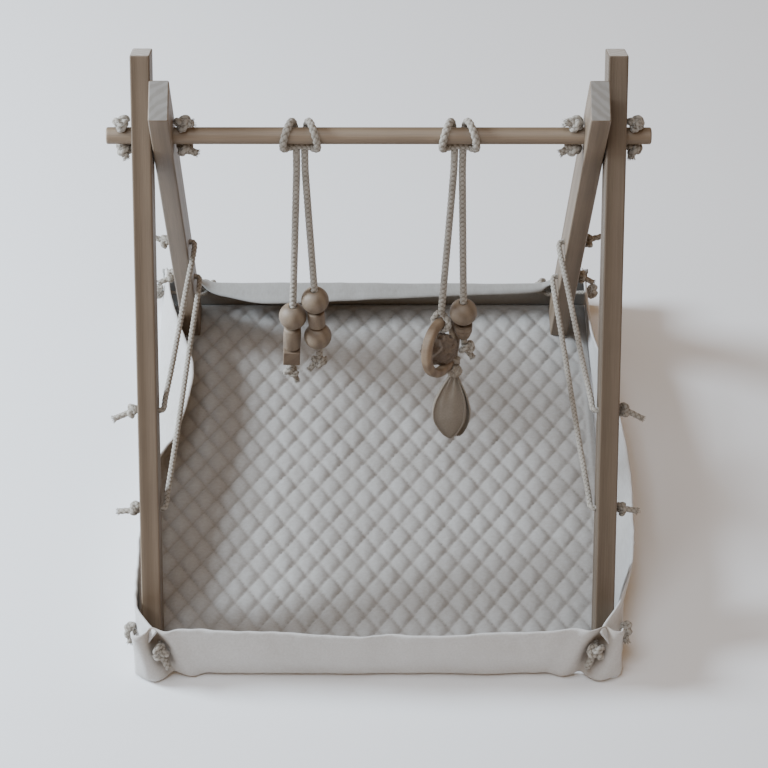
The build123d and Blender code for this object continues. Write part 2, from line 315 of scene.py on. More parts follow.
def join(name, pieces):
    """Several mesh pieces as one, with its own name."""
    bm = bmesh.new()
    for piece in pieces:
        bm.from_mesh(piece.data)
    data = bpy.data.meshes.new(name)
    bm.to_mesh(data)
    bm.free()
    whole = placed(name, data, pieces[0].data.materials[0])
    for piece in pieces:
        bpy.data.meshes.remove(piece.data)
    return whole


def smooth_line(points, resolution=24):
    """The NURBS curve of a route's points, as a line."""
    data = bpy.data.curves.new("route", "CURVE")
    data.dimensions = "3D"
    data.resolution_u = resolution
    spline = data.splines.new("NURBS")
    spline.points.add(len(points) - 1)
    for point, at in zip(spline.points, points):
        point.co = (*at, 1)
    spline.order_u = 3
    spline.use_endpoint_u = True
    holder = bpy.data.objects.new("route", data)
    mesh = bpy.data.meshes.new_from_object(holder)
    line = np.array([v.co for v in mesh.vertices], float)
    bpy.data.meshes.remove(mesh)
    bpy.data.curves.remove(data)
    return line


def along_line(line):
    """The distance along the line at each of its points."""
    return np.concatenate([[0], np.cumsum(np.linalg.norm(np.diff(line, axis=0), axis=1))])


def resampled(line, count):
    along = along_line(line)
    at = np.linspace(0, along[-1], count + 1)
    return np.stack([np.interp(at, along, line[:, k]) for k in range(3)], axis=1)


def spaced(line, step):
    return resampled(line, max(1, int(along_line(line)[-1] / step)))


def rim_of(cols, rows):
    """The grid's outer loop of vertex numbers."""
    wide = cols + 1
    loop = list(range(wide)) + [i * wide + cols for i in range(1, rows + 1)]
    loop += [rows * wide + k for k in range(cols - 1, -1, -1)]
    return loop + [i * wide for i in range(rows - 1, 0, -1)]


def sheet_faces(cols, rows, flipped=False):
    """The faces of a sheet made of two grids of points, joined round their rims."""
    wide, size = cols + 1, (rows + 1) * (cols + 1)
    faces = []
    for i in range(rows):
        for k in range(cols):
            a = i * wide + k
            near, far = (a, a + wide, a + wide + 1, a + 1), (a, a + 1, a + wide + 1, a + wide)
            if flipped:
                near, far = far, near
            faces += [near, tuple(size + v for v in far)]
    edge = rim_of(cols, rows)
    for a, b in zip(edge, edge[1:] + edge[:1]):
        faces.append((b, a, size + a, size + b) if flipped else (a, b, size + b, size + a))
    return faces


def tube_faces(rows, sides):
    """The faces of a tube made of rings of points, closed at both ends."""
    faces = []
    for i in range(rows - 1):
        for k in range(sides):
            n = (k + 1) % sides
            faces.append((i * sides + k, i * sides + n, (i + 1) * sides + n, (i + 1) * sides + k))
    faces.append(tuple(reversed(range(sides))))
    faces.append(tuple(range((rows - 1) * sides, rows * sides)))
    return faces


def frames_along(line):
    """Two directions across the line at each point, carried along without twist."""
    tangent = np.gradient(line, axis=0)
    tangent /= np.linalg.norm(tangent, axis=1)[:, None]
    start = np.array((0, 0, 1.0)) if abs(tangent[0][2]) < 0.8 else np.array((1.0, 0, 0))
    side = np.cross(tangent[0], start)
    sides = []
    for t in tangent:
        side = side - t * side.dot(t)
        side /= np.linalg.norm(side)
        sides.append(side)
    sides = np.array(sides)
    return sides, np.cross(tangent, sides)


def braided(name, line, radius, step=0.9 * MM, sides=24, plait=6.4 * MM, end_taper=True):
    """A braided cord: a tube whose surface carries the plait's diamond lattice."""
    line = spaced(line, step)
    across, other = frames_along(line)
    turn = np.linspace(0, 2 * math.pi, sides, endpoint=False)
    run = np.arange(len(line)) * step
    u = 3 * turn[None, :] / (2 * math.pi) + run[:, None] / plait
    v = 3 * turn[None, :] / (2 * math.pi) - run[:, None] / plait
    lump = np.abs(np.cos(math.pi * u) * np.cos(math.pi * v)) ** 0.6
    rim = radius * (0.80 + 0.24 * lump)
    if end_taper:
        for row, share in ((0, 0.72), (1, 0.93), (-2, 0.93), (-1, 0.72)):
            rim[row] *= share
    ring = (
        line[:, None, :]
        + across[:, None, :] * (np.cos(turn) * rim)[..., None]
        + other[:, None, :] * (np.sin(turn) * rim)[..., None]
    )
    piece = mesh_piece(name, ring.reshape(-1, 3), tube_faces(len(line), sides), CORD)
    return shaded(piece, "plait", lump.ravel())


def shaded(piece, attribute, values):
    """The piece with a number on each point that its material's painted shade follows."""
    layer = piece.data.attributes.new(attribute, "FLOAT", "POINT")
    layer.data.foreach_set("value", np.asarray(values, np.float32))
    return piece


def fray(name, at, way, radius, long, seed, count=46):
    """The loose fibres at a cut end."""
    rng = random.Random(seed)
    way = Vector(way).normalized()
    side = way.orthogonal().normalized()
    other = way.cross(side)
    verts, faces = [], []
    for _ in range(count):
        angle, out = rng.uniform(0, 2 * math.pi), radius * math.sqrt(rng.random())
        root = Vector(at) + (side * math.cos(angle) + other * math.sin(angle)) * out - way * radius * 0.6
        lean = (side * math.cos(angle) + other * math.sin(angle)) * rng.uniform(0.1, 0.75)
        lean += Vector((rng.uniform(-0.2, 0.2), rng.uniform(-0.2, 0.2), rng.uniform(-0.35, 0.05)))
        tip = root + (way + lean).normalized() * long * rng.uniform(0.55, 1.1)
        middle = root.lerp(tip, 0.55) + way * long * 0.12
        base = len(verts)
        thick = FIBRE_R * rng.uniform(0.7, 1.4)
        for centre, share in ((root, 1.0), (middle, 0.85), (tip, 0.3)):
            for k in range(3):
                spin = 2 * math.pi * k / 3
                verts.append(centre + (side * math.cos(spin) + other * math.sin(spin)) * thick * share)
        for row in range(2):
            for k in range(3):
                n = (k + 1) % 3
                a = base + row * 3
                faces.append((a + k, a + n, a + 3 + n, a + 3 + k))
        faces.append((base + 8, base + 7, base + 6))
        faces.append((base, base + 1, base + 2))
    return shaded(mesh_piece(name, verts, faces, CORD), "plait", np.ones(len(verts)))


KNOT_POINTS = 44


def overhand(at, way, size, spin, tail):
    """The centreline of an overhand knot pulled tight round a point, with its tail leaving it."""
    way = Vector(way).normalized()
    side = way.orthogonal().normalized()
    side.rotate(Matrix.Rotation(spin, 3, way))
    other = way.cross(side)
    points = []
    for i in range(KNOT_POINTS):
        t = math.pi * (0.30 + 1.72 * i / (KNOT_POINTS - 1))
        a = (math.sin(t) + 2 * math.sin(2 * t)) / 3
        b = (math.cos(t) - 2 * math.cos(2 * t)) / 3
        c = -math.sin(3 * t) * 0.62
        points.append(Vector(at) + (side * a + other * b) * size + way * c * size * 0.8)
    return np.array(points + [Vector(tail)])


FRAY_LONG = 4.5 * MM


def knot(name, at, way, size, radius, spin, tail, fray_seed):
    """A pulled-tight knot with its cut tail and loose fibres, as one piece."""
    line = smooth_line(overhand(at, way, size, spin, tail), 6)
    turns = braided(name + "_turns", line, radius, sides=16, step=0.8 * MM)
    end = Vector(line[-1])
    ends = fray(name + "_ends", end, end - Vector(line[-4]), radius * 0.9, FRAY_LONG, fray_seed)
    return join(name, [turns, ends])


def dress(piece, body, slot, *nodes):
    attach(piece, body)
    if nodes:
        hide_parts(*nodes)
    return piece


# ---------------------------------------------------------------- cords: spreaders

def along_leg(distance, side):
    return side * distance * math.sin(LEAN), BAR_Z - distance * math.cos(LEAN)


# Each spreader cord's distance down the leg from the crossbar, and its sag.
SPREADERS = {"upper": (303 * MM, 4 * MM), "lower": (415 * MM, 6 * MM)}


def spreader(level, hand, name):
    """The cord between a rear and a front leg, coming straight out of its holes."""
    distance, sag = SPREADERS[level]
    y, z = along_leg(distance, 1)
    rear_out = REAR_LEG_X + LATH_THICK / 2
    rear_mouth = REAR_LEG_X - LATH_THICK / 2
    front_mouth = FRONT_LEG_X - LATH_THICK / 2
    front_out = FRONT_LEG_X + LATH_THICK / 2
    rear_in, front_in = rear_mouth - 6.4 * MM, front_mouth - 6.2 * MM
    route = [(rear_out, y, z), (rear_mouth - 1 * MM, y, z), (rear_in, y - 2 * MM, z)]
    route.append((rear_in, y - 16 * MM, z - 0.1 * sag))
    for part, drop in ((0.5, 0.8), (0.0, 1.0), (-0.5, 0.7)):
        x = (rear_in + front_in) / 2 - part * (front_in - rear_in) / 2
        route.append((x + 0.6 * drop * MM, part * y, z - sag * drop))
    route += [(front_in, -y + 16 * MM, z - 0.1 * sag), (front_in, -y + 2 * MM, z)]
    route += [(front_mouth - 1 * MM, -y, z), (front_out, -y, z)]
    line = smooth_line([(hand * a, b, c) for a, b, c in route])
    label = f"{level}_spreader_cord_{name}"
    piece = braided(label, line, SPREADER_R, end_taper=False)
    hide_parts(f"{level}_spreader_{name}")
    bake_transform(piece)


def leg_knots(name, hand, end, leg_x, side):
    """The two knots outside a leg that stop the spreaders."""
    pieces = []
    tails = {
        "front": ((21, -3, -9), (19, 4, -8)),
        "rear": ((17, 6, 3), (15, -5, -6)),
    }[end]
    for level, ((distance, _), tail) in enumerate(zip(SPREADERS.values(), tails)):
        y, z = along_leg(distance, side)
        face = leg_x + LATH_THICK / 2
        at = Vector((hand * (face + 6.4 * MM), y, z))
        tip = at + mm(hand * tail[0], tail[1], tail[2])
        pieces.append(knot(f"{end}_knot_{name}_{level}", at, (hand, 0, 0), 5.8 * MM, SPREADER_R * 1.05,
                           spin=0.7 + level + hand, tail=tip, fray_seed=level + 10 * side + hand))
    whole = join(f"{end}_leg_knot_pair_{name}", pieces)
    dress(whole, f"{name}_{end}_leg", "cotton_cord", f"{end}_leg_knots_{name}")


for name, hand in HANDS.items():
    for level in SPREADERS:
        spreader(level, hand, name)
    leg_knots(name, hand, "front", FRONT_LEG_X, -1)
    leg_knots(name, hand, "rear", REAR_LEG_X, 1)


# ---------------------------------------------------------------- cords: stops on the crossbar

def stop_cord(name, place, x, hand):
    """A knot above and a knot below the bar, on a cord through it."""
    reach = BAR_R + 7.4 * MM
    shift = {"outer": (hand * 2, -9, 5), "inner": (-hand * 11, -4, 4)}[place]
    low_shift = {"outer": (-hand * 3, -8, -8), "inner": (-hand * 14, -3, -5)}[place]
    top, foot = Vector((x, 0, BAR_Z + reach)), Vector((x, 0, BAR_Z - reach))
    upper = knot("upper", top, (0, 0, 1), 6.6 * MM, STOP_CORD_R * 1.4, 0.4 + hand,
                 tail=top + mm(*shift), fray_seed=3 + hand)
    lower = knot("lower", foot, (0, 0, -1), 6.4 * MM, STOP_CORD_R * 1.4, 1.9 + hand,
                 tail=foot + mm(*low_shift), fray_seed=5 + hand)
    shank = braided("shank", np.array([foot, top]), STOP_CORD_R, sides=16)
    whole = join(f"stop_knots_{place}_{name}", [upper, lower, shank])
    dress(whole, "crossbar", "cotton_cord", f"stop_cord_{place}_{name}")


STOP_X = {"outer": 270 * MM, "inner": 206 * MM}
for name, hand in HANDS.items():
    for place, x in STOP_X.items():
        stop_cord(name, place, x * hand, hand)


# ---------------------------------------------------------------- toys: hitches and strands

HITCH_X = {"left": -83.0 * MM, "right": 84.7 * MM}
STRAND_OFFSET = 4.4 * MM
STEM_LOW_Z = 460 * MM
STEM_TOP_Z = 498 * MM


def hitch(name, x):
    """A lark's head: each leg comes up behind the bar, over it and down in front to the bight."""
    route = []
    for side in (-1, 1):
        half = [
            (side * 4.4, -0.5, -30.0), (side * 4.4, -0.5, -21.0), (side * 4.6, 5.5, -14.5),
            (side * 5.6, 13.5, -7.0), (side * 6.6, 14.6, 4.0), (side * 9.0, 9.5, 13.0),
            (side * 12.0, -1.5, 15.8), (side * 15.6, -11.5, 11.0), (side * 18.0, -14.6, 1.0),
            (side * 18.4, -12.0, -8.5), (side * 15.5, -5.0, -13.8), (side * 8.0, 0.5, -14.2),
        ]
        route.append([Vector((x, 0, BAR_Z)) + mm(*p) for p in half])
    line = smooth_line(route[0] + list(reversed(route[1])), 16)
    piece = braided(f"{name}_larks_head", line, TOY_CORD_R)
    dress(piece, f"{name}_hitch", "cotton_cord", f"{name}_hitch")


def strand(name, label, x, side, ends, nodes):
    """A strand from the hitch down through its beads to its last points."""
    start = (x + side * STRAND_OFFSET, 0, STEM_TOP_Z)
    route = [
        start,
        (x + side * STRAND_OFFSET, 0, 0.480),
        (x + side * (STRAND_OFFSET + 0.2 * MM), 0, STEM_LOW_Z + 2 * MM),
    ]
    line = smooth_line(route + [tuple(mm(*end)) for end in ends])
    piece = braided(f"{name}_cord_{label}", line, TOY_CORD_R)
    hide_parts(*nodes)
    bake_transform(piece)
    return piece, line, start


def end_knot(label, at, body, node, tail, seed):
    piece = knot(label, at, (0, 0, -1), 7.0 * MM, TOY_CORD_R * 0.86, seed, tail, seed)
    return dress(piece, body, "cotton_cord", node)


for name, x in HITCH_X.items():
    hitch(name, x)

# Each strand: its toy, label, side and last points, then its knot's name, node, place, tail and seed.
STRANDS = [
    ("left", "a", -1, [(-97.5, 0, 184), (-97.6, 0, 178)],
     ("left_end_knot_a", "left_toy_knot_a", (-97.6, 0, 175), (-91, -3, 160), 4)),
    ("left", "b", 1, [(-65.5, 0, 200), (-65.4, 0, 193)],
     ("left_end_knot_b", "left_toy_knot_b", (-65.6, 0, 190), (-77, -3, 178), 9)),
    ("right", "b", 1, [(97.0, 0, 224), (97.4, 0, 216)],
     ("right_end_knot", "right_toy_knot", (99.8, -1.5, 212), (108, -3, 197), 14)),
    ("right", "a", -1, [(71.0, -2, 268)], None),
]
for toy, label, side, ends, tied in STRANDS:
    stem = [f"{toy}_stem"] if label == "a" else []
    cord, line, start = strand(toy, label, HITCH_X[toy], side, ends, stem + [f"{toy}_toy_strand_{label}"])
    if tied:
        knot_name, node, at, tail, seed = tied
        end_knot(knot_name, mm(*at), f"{toy}_strand_{label}", node, mm(*tail), seed)


# ---------------------------------------------------------------- toys: beads, ring and leaf

def axis_frame(axis):
    axis = Vector(axis).normalized()
    side = axis.orthogonal().normalized()
    return side, axis.cross(side), axis


def turned(name, centre, axis, profile, around=48):
    """A lathe-turned bead: its profile is (radius, height) from the bore's low rim round to its high rim."""
    side, other, up = axis_frame(axis)
    verts, faces = [], []
    count = len(profile)
    for i in range(around):
        angle = 2 * math.pi * i / around
        out = side * math.cos(angle) + other * math.sin(angle)
        for radius, height in profile:
            verts.append(Vector(centre) + out * radius + up * height)
    for i in range(around):
        n = (i + 1) % around
        for k in range(count):
            m = (k + 1) % count
            faces.append((i * count + k, i * count + m, n * count + m, n * count + k))
    piece = mesh_piece(name, verts, faces, BEAD_WOOD)
    piece.data.validate()
    return piece


BORE = 4.4 * MM


def round_profile(radius, rows=22):
    start = math.asin(BORE / radius)
    rim = [(BORE, -radius * math.cos(start) * 0.96)]
    for i in range(rows + 1):
        a = start + (math.pi - 2 * start) * i / rows
        rim.append((radius * math.sin(a), -radius * math.cos(a)))
    rim.append((BORE, radius * math.cos(start) * 0.96))
    return rim


def barrel_profile(radius, height, belly, edge):
    half = height / 2
    rim = [(BORE, -half * 0.96), (BORE + 0.5 * MM, -half)]
    for i in range(5):
        a = math.pi / 2 * i / 4
        rim.append((radius - edge + edge * math.sin(a), -half + edge - edge * math.cos(a)))
    rows = 28
    for i in range(1, rows):
        share = i / rows
        z = (-half + edge) + (height - 2 * edge) * share
        rim.append((radius + belly * math.sin(math.pi * share), z))
    for i in range(5):
        a = math.pi / 2 * (4 - i) / 4
        rim.append((radius - edge + edge * math.sin(a), half - edge + edge * math.cos(a)))
    rim += [(BORE + 0.5 * MM, half), (BORE, half * 0.96)]
    return rim


def tapered_profile(low, high, height):
    half = height / 2
    rim = [(BORE, -half * 0.95), (low - 1.2 * MM, -half), (low, -half + 1.2 * MM)]
    rows = 26
    for i in range(1, rows):
        share = i / rows
        r = low + (high - low) * share + 1.6 * MM * math.sin(math.pi * share)
        for at in (0.3, 0.62, 0.9):
            r -= 0.9 * MM * bell(share - at, 0.035)
        rim.append((r, -half + height * share))
    rim += [(high, half - 1.0 * MM), (high - 1.0 * MM, half), (BORE, half * 0.95)]
    return rim


def centre_of(node):
    low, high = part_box(node)
    return (low + high) / 2


LEFT_A_AXIS = mm(-97.5, 0, 182) - mm(-87.1, 0, 459.6)
LEFT_B_AXIS = mm(-65.5, 0, 196) - mm(-78.9, 0, 459.6)
RIGHT_B_AXIS = mm(97.0, 0, 220) - mm(88.8, 0, 459.6)
ROUND_BEAD = round_profile(15.5 * MM)
BEADS = {
    "left_bead_round_a": (LEFT_A_AXIS, ROUND_BEAD),
    "left_bead_barrel": (LEFT_A_AXIS, barrel_profile(9.6 * MM, 30 * MM, 0.5 * MM, 2.6 * MM)),
    "left_bead_round_b": (LEFT_B_AXIS, ROUND_BEAD),
    "left_bead_drum": (LEFT_B_AXIS, barrel_profile(9.5 * MM, 21 * MM, 0.3 * MM, 1.2 * MM)),
    "left_bead_round_c": (LEFT_B_AXIS, ROUND_BEAD),
    "right_bead_round": (RIGHT_B_AXIS, ROUND_BEAD),
    "right_bead_tapered": (-RIGHT_B_AXIS, tapered_profile(6.6 * MM, 10.0 * MM, 20 * MM)),
}
for node, (axis, profile) in BEADS.items():
    dress(turned(f"{node}_turned", centre_of(node), axis, profile), node, "turned_wood", node)

CUBE_WOOD = wood("cube_wood", (0.2, 0.9, 0.1), 1.5, (0.20, 0.145, 0.10), (0.13, 0.09, 0.06), seed=2.6)


def paint(node, material):
    """A new finish for a CAD node that keeps its own shape."""
    data = NODES[node].data
    data.materials.clear()
    data.materials.append(material)


paint("left_bead_cube", CUBE_WOOD)
RING_WOOD = wood("ring_wood", (0.3, 1.2, 0), 1.3, (0.245, 0.175, 0.115), (0.16, 0.108, 0.068), seed=4.1)
paint("right_toy_ring", RING_WOOD)
paint("crossbar_dowel", BAR_WOOD)
for name, hand in HANDS.items():
    for end, side, seed in (("front", -1, 5.0), ("rear", 1, 7.5)):
        # Painted shade: the front legs' pine is darkened, the right one most, and the rear legs' cut ends are
        # dimmed to about half of the front ones.
        ends = {"front": 0.95, "rear": 0.48}[end]
        tone = {"front": 0.80 - 0.09 * hand, "rear": 1.0}[end]
        grain = wood(f"{end}_leg_wood_{name}", (side * LEAN, 0, 0), 1.0, [tone * c for c in PINE_LIGHT],
                     [tone * c for c in PINE_DARK], seed=seed + hand, sawn=ends)
        paint(f"{end}_leg_{name}", grain)


RING_AXIS = Vector((0.839, -0.512, 0.186))


def ring_loop():
    """The strand's end loop round the ring's rim, closed at its top."""
    centre = centre_of("right_toy_ring_loop")
    up, axis = Vector((0, 0.342, 0.940)), RING_AXIS
    start = mm(71.0, -1.5, 268)
    points = [start, start + mm(0, 0, -6), centre + up * 10.5 * MM + axis * 3 * MM]
    for i in range(9):
        a = math.radians(62 - 34 * i)
        points.append(centre + up * 9.4 * MM * math.sin(a) + axis * 10.2 * MM * math.cos(a))
    points.append(centre + up * 11.5 * MM - axis * 3.0 * MM)
    piece = braided("right_ring_loop_cord", smooth_line(points, 12), 3.7 * MM)
    dress(piece, "right_strand_a", "cotton_cord", "right_toy_ring_loop")


ring_loop()


WIDEST = 0.60


def leaf_blade(name, node, shift, seed, bend, width=1.0):
    """One leaf of cloth, pleated into its top, with rolled edges and a cupped middle."""
    low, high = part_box(node)
    centre = (low + high) / 2
    long = high.z - low.z
    rows, cols = 70, 40
    offset = Vector((seed * 3.1, seed * 1.7, 0))
    verts = []
    for layer in (0, 1):
        for i in range(rows + 1):
            share = i / rows
            rise = math.sin(math.pi * min(1.0, share / WIDEST) / 2) ** 1.1
            close = max(0.0, math.cos(math.pi / 2 * max(0.0, (share - WIDEST) / 0.40))) ** 0.8
            half = width * (high.x - low.x) / 2 * (0.16 + 0.84 * rise) * close
            half = max(half, 0.6 * MM)
            middle = centre.x + shift * share - 3.0 * MM * math.sin(math.pi * share)
            for k in range(cols + 1):
                across = -1 + 2 * k / cols
                roll = max(0.0, abs(across) - 0.80) / 0.20
                x = middle + across * half * (1 - 0.06 * roll)
                z = high.z - long * share
                cup = bend * (1 - across * across) * half * 0.26
                gathered = math.exp(-3.6 * share) * min(1.0, 6 * share + 0.3)
                pleat = 2.4 * MM * math.cos(7.5 * across + seed) * gathered
                y = centre.y + cup + pleat + 1.1 * MM * noise.noise(Vector((x, 0, z)) * 60 + offset)
                y -= 2.6 * MM * math.sin(math.pi * roll) * min(1.0, half / (8 * MM))
                thick = (0.5 + 0.9 * math.sin(math.pi * roll)) * MM
                verts.append((x, y + (thick if layer else -thick), z))
    piece = mesh_piece(name, verts, sheet_faces(cols, rows), LEAF)
    dress(piece, "right_leaf", "leaf_cloth", node)


def crumple(name, centre, radii, turn, seed, material, depth=1.0):
    """A bunch of cloth: a rounded lump folded into itself."""
    bm = bmesh.new()
    bmesh.ops.create_icosphere(bm, subdivisions=5, radius=1.0)
    spin = Matrix.Rotation(turn, 3, "Y")
    offset = Vector((seed, seed * 2.3, -seed))
    for vert in bm.verts:
        way = vert.co.copy()
        fold = 1 - abs(noise.noise(way * 2.3 + offset)) * 3.0
        fine = noise.noise(way * 5.0 + offset) * 0.8 + noise.noise(way * 11.0 + offset) * 0.4
        grow = 1 + depth * (0.16 * fold + 0.10 * fine)
        at = Vector((way.x * radii[0], way.y * radii[1], way.z * radii[2])) * grow
        vert.co = Vector(centre) + spin @ at
    data = bpy.data.meshes.new(name)
    bm.to_mesh(data)
    bm.free()
    return placed(name, data, material)


def cloth_rope(name, points, radius, material, seed):
    """A strip of cloth drawn together like a rope, with folds along it."""
    line = spaced(smooth_line(points, 16), 0.9 * MM)
    across, other = frames_along(line)
    sides = 28
    verts = []
    for i, at in enumerate(line):
        ends = min(1.0, (min(i, len(line) - 1 - i) + 2) / 8)
        for k in range(sides):
            angle = 2 * math.pi * k / sides
            groove = 0.20 * math.sin(4 * angle + 0.10 * i + seed) + 0.12 * math.sin(9 * angle - 0.07 * i)
            swell = 0.16 * noise.noise(Vector((i * 0.09, seed, 0)))
            r = radius * (1 + groove + swell) * ends
            verts.append(at + across[i] * r * math.cos(angle) + other[i] * r * math.sin(angle))
    return mesh_piece(name, verts, tube_faces(len(line), sides), material)


leaf_blade("leaf_back_cloth", "right_toy_leaf_back", 8.0 * MM, 2.0, 1, 0.95)
leaf_blade("leaf_front_cloth", "right_toy_leaf_front", -2.0 * MM, 1.0, -1)
# The leaf's cloth where it bunches inside the ring, darkened as painted shade for the shade inside the ring.
SHADED_RING_CLOTH = canvas("ring_cloth", (0.16, 0.115, 0.08), (0.10, 0.07, 0.048))
RING_UP = Vector((0, math.sin(math.radians(20)), math.cos(math.radians(20))))
RING_SIDE = RING_UP.cross(RING_AXIS)


def ring_cloth():
    """The leaf's cloth goes through the ring, bunches inside it in painted shade and wraps its lower rim."""
    ring = centre_of("right_toy_ring")
    tie = centre_of("right_toy_leaf_tie")
    out = (RING_SIDE - RING_UP).normalized()
    inside = crumple("ring_bunch", ring + RING_SIDE * 3 * MM - RING_UP * 4 * MM - mm(3.0, 0, 0),
                     (18 * MM, 8 * MM, 20 * MM), math.radians(25), 4.0, SHADED_RING_CLOTH, 1.3)
    dress(inside, "right_ring", "leaf_cloth")
    gather = mm(87.0, tie.y / MM - 5.0, 180.5)
    turns = [tie + out * a * MM + RING_AXIS * b * MM for a, b in
             ((9.5, 0), (3, 10), (-9, 5), (-9, -5), (3, -10), (11, -3))]
    loop = [gather + mm(0, 1, 1), *turns, gather + mm(2, 2, 0)]
    wrap = cloth_rope("leaf_wrap", loop, 3.6 * MM, LEAF, 2.0)
    dress(wrap, "right_ring", "leaf_cloth", "right_toy_leaf_tie")
    lump = crumple("leaf_gather", gather + mm(0, 0, -1), (8.5 * MM, 7 * MM, 7.5 * MM), 0.5, 9.0, LEAF, 1.3)
    dress(lump, "right_ring", "leaf_cloth")


ring_cloth()


# ---------------------------------------------------------------- quilt

DIAMOND = (26.7 * MM, 40.5 * MM)
PUFF = 5.4 * MM
BINDING = 11 * MM
REAR_GAP = 3.4 * MM
QUILT_LOW, QUILT_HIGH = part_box("quilted_mat")


def puff(x, y):
    """Height of the quilting above its stitch lines, from 0 to 1."""
    u, v = x / DIAMOND[0] + y / DIAMOND[1], x / DIAMOND[0] - y / DIAMOND[1]
    rise = abs(math.sin(math.pi * u) * math.sin(math.pi * v)) ** 0.34
    cell = noise.cell(Vector((math.floor(u), math.floor(v), 0.5)))
    wrinkle = noise.noise(Vector((x * 140, y * 140, math.floor(u) * 3.1 + math.floor(v))))
    return rise * (0.86 + 0.14 * cell) + 0.10 * wrinkle * rise


FOOT_Y = 268 * MM
FOOT_HALF = 26 * MM
FEET = [(side * x, end * FOOT_Y) for side in (-1, 1) for x, end in ((FRONT_LEG_X, -1), (REAR_LEG_X, 1))]


def pressed(x, y):
    """How far a foot squashes the padding here, from 0 to 1."""
    worst = 0.0
    for fx, fy in FEET:
        away = max(abs(x - fx) - LATH_THICK / 2, abs(y - fy) - FOOT_HALF, 0.0)
        worst = max(worst, bell(away, 7 * MM))
    return worst


def quilt():
    """The padded mat: a quilted top with a bound edge, closed flat underneath."""
    wide, deep = QUILT_HIGH.x - QUILT_LOW.x, QUILT_HIGH.y - QUILT_LOW.y + REAR_GAP
    cols, rows = 262, 298
    verts, tucks = [], []
    for j in range(rows + 1):
        for i in range(cols + 1):
            x, y = QUILT_LOW.x + wide * i / cols, QUILT_LOW.y + deep * j / rows
            margin = min(x - QUILT_LOW.x, QUILT_HIGH.x - x, y - QUILT_LOW.y, QUILT_LOW.y + deep - y)
            rim = min(1.0, margin / (9 * MM))
            seam = bell(margin - BINDING, 1.1 * MM)
            inner = min(1.0, max(0.0, (margin - BINDING) / (3 * MM)))
            rise = puff(x, y)
            height = QUILT_TOP + 0.6 * MM - PUFF * (1 - (inner * rise + (1 - inner) * 0.8))
            height -= 2.2 * MM * seam
            press = pressed(x, y)
            height = height * (1 - press) + min(height, QUILT_TOP - 0.7 * MM) * press
            height += 1.1 * MM * noise.noise(Vector((x * 7, y * 7, 2.0)))
            z = height * (1 - (1 - rim) ** 2) + QUILT_TOP * 0.35 * (1 - rim) ** 2
            verts.append((x, y, min(z, QUILT_TOP) if press > 0.3 else z))
            # Painted shade: a share of darkening for each point, highest in the stitch valleys and along the
            # binding seam.
            tucks.append(max(0.0, 1 - rise) ** 1.4 * inner + 0.6 * seam)
    faces = []
    for j in range(rows):
        for i in range(cols):
            a = j * (cols + 1) + i
            faces.append((a, a + 1, a + cols + 2, a + cols + 1))
    edge, base = rim_of(cols, rows), len(verts)
    verts += [(*verts[k][:2], 0.3 * MM) for k in edge]
    for k in range(len(edge)):
        n = (k + 1) % len(edge)
        faces.append((edge[n], edge[k], base + k, base + n))
    faces.append(tuple(base + k for k in reversed(range(len(edge)))))
    piece = shaded(mesh_piece("quilted_mat_cloth", verts, faces, QUILT), "painted_shade", tucks + [0] * len(edge))
    dress(piece, "mat", "quilted_cotton", "quilted_mat")


quilt()


# ---------------------------------------------------------------- walls

def catmull(rows, at):
    """A smooth value between rows of numbers, each led by its own position."""
    keys = [row[0] for row in rows]
    if at <= keys[0]:
        return rows[0][1]
    if at >= keys[-1]:
        return rows[-1][1]
    i = max(k for k in range(len(keys) - 1) if keys[k] <= at)
    t = (at - keys[i]) / (keys[i + 1] - keys[i])
    p1, p2 = rows[i][1], rows[i + 1][1]
    step = keys[i + 1] - keys[i]
    before, after = max(i - 1, 0), min(i + 2, len(rows) - 1)
    m1 = (p2 - rows[before][1]) / (keys[i + 1] - keys[before]) * step
    m2 = (rows[after][1] - p1) / (keys[after] - keys[i]) * step
    a, b = t * t * t, t * t
    return p1 * (2 * a - 3 * b + 1) + m1 * (a - 2 * b + t) + p2 * (-2 * a + 3 * b) + m2 * (a - b)


FLOOR_GAP = 0.2 * MM
TUCK_DEPTH = 10.5 * MM
TUCK_SWELL = 2.6 * MM


def drawn_in(at, tucks):
    """At a point of the cloth, shares of a tie's depth, the swelling beside it and the shade round it."""
    drawn = swell = shade = 0.0
    for x, z, lean in tucks:
        off = at[0] - x - lean * (z - at[2])
        fade = 0.5 + 0.5 * bell(at[2] - z, 24 * MM)
        drawn += bell(off, 7.5 * MM) * fade
        shade += bell(off, 15 * MM) * fade
        swell += bell(abs(off) - 20 * MM, 8 * MM) - 0.4 * bell(abs(off) - 38 * MM, 8 * MM)
    return drawn, swell, min(1.0, 1.1 * shade)


WALL_ROWS = 34
WALL_THICK = 1.1 * MM
HEM = 9 * MM
PUCKER_PITCH = 9 * MM
EDGE = 2.2 * MM


